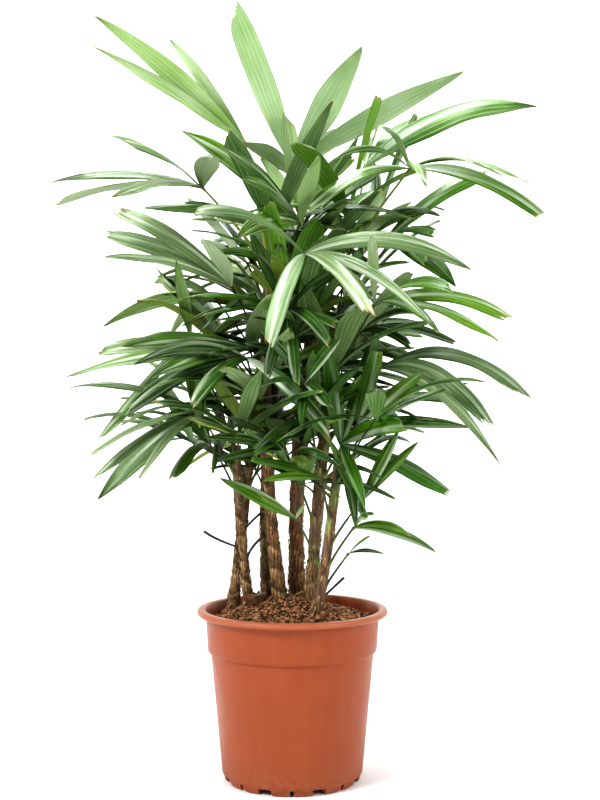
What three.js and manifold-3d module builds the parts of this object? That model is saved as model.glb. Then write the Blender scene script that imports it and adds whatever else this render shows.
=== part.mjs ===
// Lady palm in a nursery pot, as a standalone three.js part: a clump of fibrous canes standing in the soil
// of a terracotta-coloured pot, each cane carrying fronds on thin stalks, each frond a fan of narrow
// leaflets. Millimetres, +Z up. The origin is the middle of the pot's underside, on the surface that the
// pot stands on. The plant's front faces -Y. A heading is an angle from +X towards +Y as seen from above,
// and a rise is an angle above level, both in degrees.
import * as THREE from "three";
import { mergeVertices } from "three/addons/utils/BufferGeometryUtils.js";
import Module from "manifold-3d";

const wasm = await Module();
wasm.setup();

// ---- driving dimensions ----
const POT = {
  rim: 120, // outer radius of the rolled lip
  height: 213,
  wall: 2.6,
  lip: 8, // height of the lip
  neck: 109, // outer radius just under the lip
  band: 106.5, // outer radius at the bottom of the wider band
  bandBottom: 160,
  shoulder: 102.5, // outer radius just under the band
  base: 87.5, // outer radius at the bottom of the tapered wall
  foot: 85, // outer radius of the ring of feet
  footHeight: 7.5,
  footWidth: 8,
  footPairs: 8,
  slit: 4.5, // between the two feet of a pair
  gate: 17, // between one pair and the next
  sides: 24,
};
const SOIL = { edge: 199, crown: 212 }; // height at the wall and in the middle
const GAP = 0.35; // between pieces that touch
const CANE = { buried: 12, steps: 4, sides: 7, taper: 0.22, flare: 0.35, flareShare: 0.2 };
const STALK = { footRadius: 1.9, hubRadius: 1.35, knuckle: 3, steps: 2, sides: 3 };
const BLADE = {
  depth: 1.8, // from a leaflet's flat top to its keel
  widthShare: 0.13, // of the frond's full length
  rings: [[0.33, 0.85], [0.67, 1], [0.92, 0.8]], // place along the blade, share of its full width there
};
const CLEARANCE = 0.8; // kept round a new leaflet
const CRUMBS = 1; // cubic millimetres
const UP = new THREE.Vector3(0, 0, 1);

// The canes: foot [x, y] in the soil, the middle's sideways bow [x, y] from the straight line, top [x, y,
// z] under the crown of leaf bases, and radius.
const CANES = {
  tall: { foot: [-12, 8], bow: [-14, 4], top: [-27, 6, 655], radius: 9 },
  stout: { foot: [8, 42], bow: [-13, -2], top: [34, 50, 610], radius: 9.6 },
  rear: { foot: [-31, 58], bow: [-12, -5], top: [-14, 84, 560], radius: 6.8 },
  slim: { foot: [22, 4], bow: [-2, -2], top: [50, 16, 525], radius: 7.6 },
  right: { foot: [27, -26], bow: [3, -2], top: [56, -38, 398], radius: 6.6 },
  left: { foot: [-54, 30], bow: [-3, -3], top: [-71, 12, 418], radius: 7.2 },
  outer: { foot: [-79, 34], bow: [0, 2], top: [-56, 66, 400], radius: 7 },
};

// The fronds that show, from the top down: the cane that carries each, its hub x, y, z where the stalk
// meets the fan, how far its upper face leans from straight up towards the front (or, below zero, the
// back), how far the leaflets arch as a share of their length, their full length, and for each leaflet how
// far right of the hub and above it the tip lies. A leaflet whose tip lies nearer than its full length
// points to the front or the back too.
const FRONDS = [
  ["stout", 0, 15, 775, -60, 0.03, 225, [[220, 120], [70, 70], [95, 175], [-10, 90], [-80, 215]]],
  ["tall", -60, 0, 800, -40, 0.05, 232,
    [[65, -15], [20, 15], [-105, 160], [-190, 160], [-165, 120], [-195, 125]]],
  ["stout", 90, -20, 765, -32, 0.14, 225, [[215, 75], [125, 85], [15, 150]]],
  ["stout", 145, -40, 760, 30, 0.12, 175,
    [[-45, 20], [-95, -10], [-130, -65], [155, -65], [95, -30], [130, -35]]],
  ["tall", -115, 10, 745, 20, 0.08, 190, [[25, 10], [-95, 35], [-185, 0], [-185, -25], [-95, -35]]],
  ["stout", 5, 10, 720, -70, 0.05, 125, [[75, 75], [-15, 125], [-50, 85], [-70, -20]]],
  ["tall", 10, -60, 690, 60, 0.08, 180, [[20, 55], [-90, 70], [-155, 90], [-65, 30], [-70, -35]]],
  ["stout", 120, 15, 680, 30, 0.1, 150, [[130, 85], [55, -10], [80, -70], [40, -45]]],
  ["slim", 70, -10, 665, -60, 0.05, 110, [[75, 75], [50, 80], [-25, 80], [-60, -20]]],
  ["rear", -60, 60, 655, -30, 0.08, 140, [[-85, 95], [-70, 40], [-125, -15]]],
  ["tall", 15, -125, 645, 60, 0.14, 195, [[-125, 30], [-40, -115], [70, -85], [140, -90], [195, -20]]],
  ["tall", -75, -40, 615, 30, 0.08, 165, [[-20, 40], [-145, 95], [-155, 65], [-150, 30]]],
  ["tall", -45, -20, 610, 50, 0.12, 95, [[-35, 35], [-65, -60], [40, -60]]],
  ["rear", -100, 50, 605, -30, 0.12, 155, [[-90, 25], [-150, -35], [-70, -40]]],
  ["slim", 100, -60, 590, 50, 0.14, 170, [[65, -40], [145, -50], [165, -25], [85, 5], [-5, 95], [-65, 30]]],
  ["tall", -5, -60, 585, 60, 0.12, 120, [[60, 40], [-40, 60], [-35, -65], [10, -95], [50, -50]]],
  ["slim", 85, -20, 560, 40, 0.12, 115, [[60, -25], [120, -15], [75, 20]]],
  ["left", -130, 20, 555, 40, 0.05, 160, [[-15, 90], [-120, -135], [20, -115]]],
  ["tall", -55, 0, 540, 30, 0.06, 225, [[35, 55], [-185, 25], [-140, -5], [-230, -40], [-105, -40]]],
  ["tall", -55, -60, 525, 60, 0.12, 160, [[-125, -15], [-145, -65], [-60, -60], [105, -100]]],
  ["slim", 110, -50, 515, 30, 0.2, 190, [[175, -45], [120, -75], [140, -120]]],
  ["slim", 15, -90, 495, 60, 0.1, 90, [[40, 50], [-40, 55], [-50, -5], [-5, -55], [30, -30]]],
  ["left", -115, -40, 460, 30, 0.1, 165,
    [[-150, 25], [-80, -15], [-130, -55], [-125, -85], [-125, -110], [-60, -75]]],
  ["slim", 115, 40, 455, -30, 0.08, 75, [[70, 25], [40, 35], [-15, 25]]],
  ["left", -80, 40, 450, -30, 0.08, 130, [[-20, 85], [-65, 60], [-115, 20]]],
  ["slim", 80, -30, 445, 60, 0.04, 145, [[145, -5], [95, 70], [20, 90]]],
  ["right", 60, -30, 420, 60, 0.08, 150, [[25, -70], [135, -60], [75, 130], [-20, 135]]],
  ["slim", -10, -60, 415, 50, 0.06, 100, [[-65, 40], [-95, 15], [-85, -15]]],
  ["right", 55, -55, 395, 50, 0.1, 75, [[35, -65], [50, -10], [-50, 20]]],
  ["right", 35, -70, 380, 50, 0.06, 90, [[-85, 25], [-70, 0]]],
  ["right", 85, -40, 350, 50, 0.06, 105, [[70, 75], [45, 90], [-25, 80]]],
  ["right", 5, -55, 330, 50, 0.04, 105, [[10, 25], [-45, 35], [-95, 50]]],
  ["right", 75, -60, 320, 40, 0.12, 100, [[100, -30], [65, -5], [15, 20]]],
  ["right", 70, -30, 285, 40, 0.1, 50, [[45, 0], [25, 25]]],
];

// The fronds behind them: how many each cane carries, and their sizes. Each next one stands lower by the
// drop, and its heading steps round the back by the golden share.
const BEHIND = {
  canes: { tall: 3, stout: 3, rear: 2, outer: 1, slim: 1 },
  drop: 85,
  sweep: [15, 165], // the span of headings
  rise: 40,
  reach: 45, // from the cane to the hub
  count: 7,
  spread: 230, // from the first leaflet to the last
  length: 155,
  arch: 0.1,
};
const FORESHORTENED = 0.8; // share of a leaflet's unseen length that lies in depth
const WIDEST_GAP = 75; // degrees between two leaflets, past which one more stands between them
const GOLDEN = 0.618;
const VARIATION = { width: 0.3, twist: 40, turn: 8 };

// ---- small helpers ----

const radians = THREE.MathUtils.degToRad;

// A repeatable stream of numbers from 0 to 1.
function dice(seed) {
  let state = (seed * 2654435761) >>> 0 || 1;
  return () => {
    state ^= state << 13;
    state ^= state >>> 17;
    state ^= state << 5;
    state >>>= 0;
    return state / 2 ** 32;
  };
}

// A number within the range to either side of zero.
const either = (next, range) => (next() * 2 - 1) * range;

// The unit vector with this heading and rise.
function bearing(heading, rise) {
  const level = Math.cos(radians(rise));
  return new THREE.Vector3(
    level * Math.cos(radians(heading)),
    level * Math.sin(radians(heading)),
    Math.sin(radians(rise)),
  );
}

// A closed skin over rings of equal count. Each four-sided span is split along the diagonal that lies
// further out, so that a twisted span never folds in. Each end is the flat ring itself, or the point that is
// given for it.
function loft(rings, root, tip) {
  const count = rings[0].length;
  const points = rings.flat();
  const faces = [];
  for (let r = 0; r + 1 < rings.length; r++) {
    const core = new THREE.Vector3();
    for (const point of [...rings[r], ...rings[r + 1]]) core.addScaledVector(point, 0.5 / count);
    const reach = (p, q) => points[p].clone().lerp(points[q], 0.5).distanceTo(core);
    for (let i = 0; i < count; i++) {
      const a = r * count + i;
      const b = r * count + ((i + 1) % count);
      if (reach(a, b + count) > reach(b, a + count)) faces.push(a, b, b + count, a, b + count, a + count);
      else faces.push(a, b, a + count, b, b + count, a + count);
    }
  }
  const last = (rings.length - 1) * count;
  if (root) {
    for (let i = 0; i < count; i++) faces.push((i + 1) % count, i, points.length);
    points.push(root);
  } else for (let i = 1; i + 1 < count; i++) faces.push(0, i + 1, i);
  if (tip) {
    for (let i = 0; i < count; i++) faces.push(last + i, last + ((i + 1) % count), points.length);
    points.push(tip);
  } else for (let i = 1; i + 1 < count; i++) faces.push(last, last + i, last + i + 1);
  const geometry = new THREE.BufferGeometry().setFromPoints(points);
  geometry.setIndex(faces);
  return geometry;
}

// A closed geometry as a solid for joining and cutting. Rings that ran the other way are turned outside
// out.
function solidOf(geometry) {
  const bare = new THREE.BufferGeometry();
  bare.setAttribute("position", geometry.getAttribute("position"));
  bare.setIndex(geometry.index);
  const merged = mergeVertices(bare, 1e-3);
  const vertProperties = merged.getAttribute("position").array;
  const triVerts = new Uint32Array(merged.index.array);
  const solid = new wasm.Manifold(new wasm.Mesh({ numProp: 3, vertProperties, triVerts }));
  if (solid.volume() > 0) return solid;
  for (let i = 0; i < triVerts.length; i += 3)
    [triVerts[i + 1], triVerts[i + 2]] = [triVerts[i + 2], triVerts[i + 1]];
  return new wasm.Manifold(new wasm.Mesh({ numProp: 3, vertProperties, triVerts }));
}

// A solid as a named mesh: its largest body, without the crumbs that a cut can leave.
function meshOf(name, solid, colour, roughness) {
  const whole = solid.decompose().reduce((a, b) => (b.volume() > a.volume() ? b : a));
  if (solid.volume() - whole.volume() > CRUMBS) console.error(name, "comes apart");
  const { vertProperties, triVerts } = whole.getMesh();
  const geometry = new THREE.BufferGeometry();
  geometry.setAttribute("position", new THREE.BufferAttribute(vertProperties, 3));
  geometry.setIndex(new THREE.BufferAttribute(triVerts, 1));
  const material = new THREE.MeshStandardMaterial({ color: colour, roughness, metalness: 0 });
  const mesh = new THREE.Mesh(geometry, material);
  mesh.name = name;
  return mesh;
}

// A profile of [radius, height] points turned round the pot's axis.
function turned(profile) {
  const geometry = new THREE.LatheGeometry(
    profile.map(([r, z]) => new THREE.Vector2(r, z)),
    POT.sides,
  );
  geometry.rotateX(Math.PI / 2);
  return solidOf(geometry);
}

// A tapering round limb along a curve, with the given radii from its foot to its end.
function limb(curve, radii, sides) {
  const rings = radii.map((radius, i) => {
    const share = i / (radii.length - 1);
    const centre = curve.getPointAt(share);
    const along = curve.getTangentAt(share);
    const across = new THREE.Vector3(1, 0, 0).cross(along).normalize();
    const over = along.clone().cross(across);
    return Array.from({ length: sides }, (_, k) => {
      const turn = (k / sides) * 2 * Math.PI;
      const point = centre.clone().addScaledVector(across, radius * Math.cos(turn));
      return point.addScaledVector(over, radius * Math.sin(turn));
    });
  });
  return rings;
}

// ---- pot and soil ----

// The inside of the pot's wall, from the floor up to the lip.
const FLOOR = POT.footHeight + POT.wall;
const INSIDE = [
  [POT.base - POT.wall - 2, FLOOR],
  [POT.shoulder - POT.wall, POT.bandBottom - 3],
  [POT.neck - POT.wall, POT.height - POT.lip - 6],
];

// A thin tapered wall with a wider band at the top, a rolled lip, a floor, and paired feet round the rim
// below.
function pot() {
  const under = POT.height - POT.lip;
  let body = turned([
    [0, POT.footHeight],
    [POT.foot - POT.footWidth, POT.footHeight],
    [POT.foot - POT.footWidth, 0],
    [POT.foot - 1.5, 0],
    [POT.foot, POT.footHeight],
    [POT.base, POT.footHeight + 5],
    [POT.shoulder, POT.bandBottom - 1],
    [POT.band, POT.bandBottom + 2],
    [POT.neck, under],
    [POT.rim - 0.5, under],
    [POT.rim, POT.height - 2.5],
    [POT.rim - 3.5, POT.height],
    [POT.rim - 8.5, POT.height - 1],
    ...INSIDE.toReversed(),
    [0, FLOOR],
  ]);
  const notch = (share, width) => {
    const box = new THREE.BoxGeometry(width, POT.footWidth * 4, POT.footHeight * 2);
    box.translate(0, -POT.foot, 0);
    box.rotateZ(share * 2 * Math.PI);
    body = body.subtract(solidOf(box));
  };
  for (let i = 0; i < POT.footPairs; i++) {
    notch(i / POT.footPairs, POT.slit);
    notch((i + 0.5) / POT.footPairs, POT.gate);
  }
  return meshOf("pot", body, "#b5603f", 0.55);
}

// The height of the soil's low mound.
function groundAt(x, y) {
  const out = Math.min(1, Math.hypot(x, y) / INSIDE.at(-1)[0]);
  return SOIL.edge + (SOIL.crown - SOIL.edge) * (1 - out * out);
}

// The root ball, which fills the pot and has a pocket round each cane's foot.
function soil() {
  const mound = [0.75, 0.45, 0].map((share) => {
    const radius = share * INSIDE.at(-1)[0];
    return [radius, groundAt(radius, 0)];
  });
  const wall = INSIDE.map(([r, z], i) => [r - GAP * 1.5, i ? z : z + GAP]);
  const ball = turned([[0, FLOOR + GAP], ...wall, ...mound]);
  return meshOf(
    "soil",
    Object.values(CANES).reduce((left, cane) => left.subtract(cane.pocket), ball),
    "#4a3222",
    0.95,
  );
}

// ---- canes ----

for (const cane of Object.values(CANES)) {
  const [x, y] = cane.foot;
  const foot = new THREE.Vector3(x, y, groundAt(x, y) - CANE.buried);
  const top = new THREE.Vector3(...cane.top);
  const bow = new THREE.Vector3(cane.bow[0] * 2, cane.bow[1] * 2, 0);
  const middle = foot.clone().lerp(top, 0.5).add(bow);
  cane.curve = new THREE.QuadraticBezierCurve3(foot, middle, top);
  cane.at = (z) => cane.curve.getPoint(THREE.MathUtils.clamp((z - foot.z) / (top.z - foot.z), 0, 1));
  const solid = (grow) => {
    const radii = Array.from({ length: CANE.steps + 1 }, (_, i) => {
      const share = i / CANE.steps;
      const flare = 1 + CANE.flare * Math.max(0, 1 - share / CANE.flareShare);
      return cane.radius * flare * (1 - CANE.taper * share) + grow;
    });
    const rings = limb(cane.curve, radii, CANE.sides);
    for (const point of rings[0]) point.z = foot.z - grow;
    for (const point of rings.at(-1)) point.z += grow;
    return solidOf(loft(rings));
  };
  cane.solid = solid(0);
  cane.pocket = solid(GAP);
}

// ---- fronds ----

// Solids with their boxes, for asking whether a new one would touch any of them.
const boxed = (solid) => ({ solid, box: solid.boundingBox() });
function touches(solid, others) {
  const box = solid.boundingBox();
  const apart = (other) => [0, 1, 2].some((k) => box.min[k] > other.max[k] || box.max[k] < other.min[k]);
  return others.some((other) => !apart(other.box) && solid.intersect(other.solid).volume() > 1e-6);
}

// One leaflet: a three-sided blade with a flat top and a keel below, pointed at the hub and at its tip. It
// arches up from the straight way to the tip, and twists along its length.
function leaflet(hub, shape, grow) {
  const { reach, face, width, twist } = shape;
  const tip = hub.clone().add(reach);
  const lift = 2 * shape.arch * Math.hypot(reach.x, reach.y);
  const middle = hub.clone().lerp(tip, 0.5).addScaledVector(UP, lift);
  const spine = new THREE.QuadraticBezierCurve3(hub, middle, tip);
  const across = face.clone().cross(reach).normalize();
  const rings = BLADE.rings.map(([place, share]) => {
    const along = spine.getTangent(place);
    const side = across.clone().projectOnPlane(along).normalize();
    side.applyAxisAngle(along, radians(twist) * place);
    const under = side.clone().cross(along);
    const at = spine.getPoint(place);
    const edge = at.clone().addScaledVector(under, -grow);
    const half = (width * share) / 2 + grow;
    return [
      edge.clone().addScaledVector(side, half),
      edge.clone().addScaledVector(side, -half),
      at.clone().addScaledVector(under, BLADE.depth + grow),
    ];
  });
  const end = tip.addScaledVector(spine.getTangent(1), grow);
  return { whole: solidOf(loft(rings, hub, end)), blade: solidOf(loft(rings, null, end)) };
}

// The stalk from inside the cane to the hub, with the knuckle that joins the leaflets there. Where its own
// way is taken, the stalk and the hub shift a little, the hub mostly in depth.
function stalk(cane, wanted, others, next) {
  for (let attempt = 0; attempt < 160; attempt++) {
    const shift = (range) => either(next, (range * attempt) / 160);
    const hub = wanted.clone().add(new THREE.Vector3(shift(8), shift(30), shift(8)));
    const axis = cane.at(hub.z);
    const outwards = new THREE.Vector3(hub.x - axis.x, hub.y - axis.y, 0);
    const height = Math.min(hub.z - 0.9 * outwards.length() - 25, cane.top[2] - 6) - Math.abs(shift(60));
    const from = cane.at(height).addScaledVector(outwards.normalize(), cane.radius * 0.4);
    const middle = from.clone().lerp(hub, 0.5).addScaledVector(UP, from.distanceTo(hub) * 0.08);
    middle.add(new THREE.Vector3(shift(40), shift(40), shift(20)));
    const curve = new THREE.QuadraticBezierCurve3(from, middle, hub);
    const made = (grow) => {
      const radii = Array.from({ length: STALK.steps + 1 }, (_, i) => {
        return THREE.MathUtils.lerp(STALK.footRadius, STALK.hubRadius, i / STALK.steps) + grow;
      });
      const knuckle = new THREE.OctahedronGeometry(STALK.knuckle + grow);
      knuckle.translate(hub.x, hub.y, hub.z);
      return solidOf(loft(limb(curve, radii, STALK.sides))).add(solidOf(mergeVertices(knuckle)));
    };
    if (!touches(made(CLEARANCE / 2), others)) return { solid: made(0), hub };
  }
  return null;
}

// From a row of the table: the way from the hub to each leaflet's tip, and the way its upper face looks.
function shown([cane, x, y, z, lean, arch, length, tips]) {
  const front = -Math.sign(lean);
  const reaches = tips.map(([right, up]) => {
    const unseen = Math.sqrt(Math.max(0, length ** 2 - right ** 2 - up ** 2));
    return new THREE.Vector3(right, front * FORESHORTENED * unseen, up);
  });
  const filled = reaches.flatMap((reach, i) => {
    const next = reaches[i + 1];
    if (!next || reach.angleTo(next) < radians(WIDEST_GAP)) return [reach];
    const between = reach.clone().normalize().add(next.clone().normalize());
    between.y += front * 1.5;
    return [reach, between.setLength(length * 0.8)];
  });
  const face = new THREE.Vector3(0, -Math.sin(radians(lean)), Math.cos(radians(lean)));
  return { cane: CANES[cane], hub: new THREE.Vector3(x, y, z), reaches: filled, face, arch, length };
}

// A frond at the back, by its cane, its place down that cane and its number: leaflets spread evenly across
// a fan that faces up and outwards.
function behind(cane, place, number) {
  const turn = (number * GOLDEN) % 1;
  const heading = THREE.MathUtils.lerp(...BEHIND.sweep, turn);
  const rise = BEHIND.rise - 12 * place;
  const main = bearing(heading, rise);
  const hub = cane.at(cane.top[2]).addScaledVector(main, BEHIND.reach);
  hub.addScaledVector(UP, -BEHIND.drop * place);
  const side = bearing(heading - 90, 0);
  const length = BEHIND.length;
  const reaches = Array.from({ length: BEHIND.count }, (_, i) => {
    const share = i / (BEHIND.count - 1) - 0.5;
    const swing = radians(BEHIND.spread * share);
    const reach = main.clone().multiplyScalar(Math.cos(swing)).addScaledVector(side, Math.sin(swing));
    return reach.setLength(length * (1 - 0.6 * share ** 2));
  });
  return { cane, hub, reaches, face: side.cross(main), arch: BEHIND.arch, length };
}

// A whole frond: its stalk and knuckle, and the leaflets that find room among the other solids.
function frond({ cane, hub: wanted, reaches, face, arch, length }, seed, others) {
  const draw = dice(seed);
  const search = dice(seed + 500);
  const rest = others.filter((other) => other.cane !== cane);
  const stem = stalk(cane, wanted, rest, search);
  if (!stem) return null;
  const { hub } = stem;
  let whole = stem.solid;
  const blades = [];
  for (const reach of reaches) {
    const own = BLADE.widthShare * (length + reach.length()) * 0.5 * (1 + either(draw, VARIATION.width));
    const twist = either(draw, VARIATION.twist);
    for (let attempt = 0; attempt < 100; attempt++) {
      const loose = attempt / 20;
      const width = own * (1 - 0.07 * loose);
      const axis = new THREE.Vector3(search() - 0.5, search() - 0.5, search() - 0.5).normalize();
      const way = reach.clone().applyAxisAngle(axis, radians(VARIATION.turn) * loose);
      const shape = { reach: way, face, width, twist: twist + either(search, 15 * loose), arch };
      const room = leaflet(hub, shape, CLEARANCE);
      if (touches(room.whole, others) || touches(room.blade, blades)) continue;
      const made = leaflet(hub, shape, 0);
      const joined = whole.add(made.whole);
      if (touches(joined, rest)) continue;
      blades.push(boxed(made.blade));
      whole = joined;
      break;
    }
  }
  if (blades.length < reaches.length) console.error("frond", seed, "lacks", reaches.length - blades.length);
  return whole.subtract(cane.pocket).simplify(0.02);
}

// ---- the whole plant ----

const palm = new THREE.Group();
palm.add(pot(), soil());
const taken = [];
for (const [name, cane] of Object.entries(CANES)) {
  palm.add(meshOf("cane_" + name, cane.solid, "#6b4a34", 0.85));
  taken.push({ ...boxed(cane.pocket), cane });
}
const fronds = FRONDS.map(shown);
for (const [name, count] of Object.entries(BEHIND.canes))
  for (let place = 0; place < count; place++) fronds.push(behind(CANES[name], place, fronds.length));
fronds.forEach((plan, index) => {
  const name = "frond_" + String(index + 1).padStart(2, "0");
  const solid = frond(plan, index + 1, taken);
  if (!solid) return console.error(name, "finds no way for its stalk");
  palm.add(meshOf(name, solid, "#3f7a2a", 0.4));
  taken.push(boxed(solid));
});

export default palm;
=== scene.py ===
import math

import bmesh
import bpy
import numpy as np
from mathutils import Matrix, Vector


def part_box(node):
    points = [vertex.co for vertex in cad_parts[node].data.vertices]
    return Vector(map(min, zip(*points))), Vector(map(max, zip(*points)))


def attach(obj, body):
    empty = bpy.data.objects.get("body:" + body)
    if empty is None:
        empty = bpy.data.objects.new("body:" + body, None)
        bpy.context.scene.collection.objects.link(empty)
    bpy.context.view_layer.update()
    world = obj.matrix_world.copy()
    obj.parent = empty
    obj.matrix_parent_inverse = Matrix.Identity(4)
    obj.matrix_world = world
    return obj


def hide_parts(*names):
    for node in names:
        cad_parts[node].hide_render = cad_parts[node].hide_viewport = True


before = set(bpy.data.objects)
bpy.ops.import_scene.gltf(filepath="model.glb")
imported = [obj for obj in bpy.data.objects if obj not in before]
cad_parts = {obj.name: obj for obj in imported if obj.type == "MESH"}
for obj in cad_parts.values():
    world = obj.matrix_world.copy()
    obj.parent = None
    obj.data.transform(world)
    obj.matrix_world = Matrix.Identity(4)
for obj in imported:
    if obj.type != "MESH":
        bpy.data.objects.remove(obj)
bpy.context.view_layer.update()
MM = 0.001
scene = bpy.context.scene


# ---- camera ----
# A level camera at the height of the crown's foot, a long step in front of the pot, as for a catalogue
# picture. Its lens takes in the whole plant and its pot.

LENS = 55.98
EYE = (0.0096, -1.57, 0.4747)


def place_camera():
    """A level camera that looks along +Y."""
    data = bpy.data.cameras.new("camera")
    data.lens = LENS
    data.sensor_width = 36
    data.sensor_fit = "AUTO"
    data.clip_start = 0.05
    camera = bpy.data.objects.new("camera", data)
    camera.location = EYE
    camera.rotation_euler = (math.pi / 2, 0, 0)
    scene.collection.objects.link(camera)
    scene.camera = camera


place_camera()


# ---- pot ----
# A thin injection-moulded nursery pot in terracotta-coloured polypropylene: a tapered wall, a wider band at
# the top under a rolled lip, and paired feet that keep its underside off the floor. The wall is one profile
# turned round the axis, and the feet are short curved blocks under its edge.

POT_TURNS = 192
POT_WALL = 2.4 * MM
BASE_RADIUS = 87.5 * MM
SHOULDER_RADIUS = 102.5 * MM
BAND_RADIUS = 106.5 * MM
NECK_RADIUS = 109 * MM
BAND_FOOT = 160 * MM
LIP_HEIGHT = 8 * MM
LIP_FOOT = 203 * MM
HEEL = 3 * MM  # the rounds at the wall's foot, at the band's step and inside the lip
STEP = 2 * MM
MOUTH = 3 * MM
FOOT_PAIRS = 8
FOOT_RADIUS = 85 * MM
FOOT_HEIGHT = 7.5 * MM
FOOT_WIDTH = 8 * MM
FOOT_SLIT = 4.5 * MM
FOOT_GATE = 17 * MM
FOOT_TURNS = 10
CLAY = (0.265, 0.053, 0.0135, 1)
CLAY_DEEP = (0.247, 0.048, 0.012, 1)
CLAY_PALE = (0.33, 0.094, 0.04, 1)
# The pale of the lip's painted highlight.
CLAY_LIP_HIGHLIGHT = (0.37, 0.12, 0.06, 1)
DUST = (0.3, 0.17, 0.1, 1)


def lattice(rows, columns, closed):
    """Triangles over a grid of points that is counted row by row. Gives each triangle's three point numbers
    and its corners' [column, row] places. A closed grid joins its last column to the first."""
    spans = columns if closed else columns - 1
    row, column = (a.ravel() for a in np.meshgrid(np.arange(rows - 1), np.arange(spans), indexing="ij"))
    near = np.stack([column, row], -1)
    across, along = np.array([1, 0]), np.array([0, 1])
    places = np.concatenate(
        [
            np.stack([near, near + across, near + across + along], 1),
            np.stack([near, near + across + along, near + along], 1),
        ]
    )
    return places[..., 1] * columns + places[..., 0] % columns, places


def outwards(part):
    """The part with its faces turned the right way: the signed volume under all its triangles, which is the
    sum of a . (b x c) / 6, is positive when they point out."""
    a, b, c = (part["points"][part["faces"][:, k]] for k in range(3))
    if np.einsum("ij,ij->", a, np.cross(b, c)) < 0:
        part["faces"] = part["faces"][:, ::-1]
        part["maps"] = {name: corners[:, ::-1] for name, corners in part["maps"].items()}
    return part


def joined(parts):
    """Several parts as one: their points one after the other, and each part's faces counted on from there."""
    starts = np.cumsum([0] + [len(part["points"]) for part in parts[:-1]])
    whole = {
        "points": np.concatenate([part["points"] for part in parts]),
        "faces": np.concatenate([part["faces"] + start for part, start in zip(parts, starts)]),
    }
    for kind in ("maps", "marks"):
        names = parts[0][kind]
        whole[kind] = {name: np.concatenate([part[kind][name] for part in parts]) for name in names}
    return whole


def packed_cells(count, corners):
    """Each of many like parts gets its own small square of the map: the unit square is cut into enough
    cells, and a part's corners, which run from 0 to 1, are shrunk into its cell with a margin."""
    side = math.ceil(math.sqrt(count))
    number = np.arange(count)
    cell = np.stack([number % side, number // side], -1)[:, None, None]
    return ((cell + 0.04 + 0.92 * corners) / side).reshape(-1, 3, 2)


def skins(rings):
    """Closed skins over many stacks of rings, an array [stack, ring, point round it, xyz]. A point in the
    middle of the first and of the last ring closes each end. Map U runs round, and V from end to end."""
    stacks, rows, columns, _ = rings.shape
    faces, places = lattice(rows, columns, True)
    turn = np.arange(columns)
    fans, fan_places = [], []
    for row, middle in ((0, rows * columns), (rows - 1, rows * columns + 1)):
        fan = np.stack([turn, (turn + 1) % columns, turn * 0], -1) + row * columns
        fan[:, 2] = middle
        place = np.stack([np.stack([turn, turn + 1, turn + 0.5], -1), np.full((columns, 3), float(row))], -1)
        place[:, 2, 1] += 0.6 if row else -0.6
        fans.append(fan if row else fan[:, ::-1])
        fan_places.append(place if row else place[:, ::-1])
    faces = np.concatenate([faces, *fans])
    corners = (np.concatenate([places, *fan_places]) + [0, 0.6]) / [columns, rows + 0.2]
    middles = rings[:, [0, -1]].mean(2)
    points = np.concatenate([rings.reshape(stacks, -1, 3), middles], 1)
    starts = np.arange(stacks)[:, None, None] * points.shape[1]
    return outwards(
        {
            "points": points.reshape(-1, 3),
            "faces": (faces[None] + starts).reshape(-1, 3),
            "maps": {"OFBake": packed_cells(stacks, corners[None])},
            "marks": {},
        }
    )


def add_piece(name, part, material, nodes=(), sharp=50):
    """A mesh object from a part: points, triangles, a UV map for each of its maps and a number on each point
    for each of its marks. Edges sharper than this many degrees stay sharp."""
    mesh = bpy.data.meshes.new(name)
    count = len(part["faces"])
    mesh.vertices.add(len(part["points"]))
    mesh.vertices.foreach_set("co", part["points"].astype(np.float32).ravel())
    mesh.loops.add(3 * count)
    mesh.loops.foreach_set("vertex_index", part["faces"].astype(np.int32).ravel())
    mesh.polygons.add(count)
    mesh.polygons.foreach_set("loop_start", np.arange(0, 3 * count, 3, dtype=np.int32))
    mesh.polygons.foreach_set("use_smooth", np.ones(count, bool))
    mesh.update(calc_edges=True)
    for key, corners in part["maps"].items():
        mesh.uv_layers.new(name=key).data.foreach_set("uv", corners.astype(np.float32).ravel())
    for key, values in part["marks"].items():
        mesh.attributes.new(key, "FLOAT", "POINT").data.foreach_set("value", values.astype(np.float32))
    mesh.set_sharp_from_angle(angle=math.radians(sharp))
    mesh.materials.append(material)
    piece = bpy.data.objects.new(name, mesh)
    scene.collection.objects.link(piece)
    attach(piece, "root")
    if nodes:
        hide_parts(*nodes)


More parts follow.
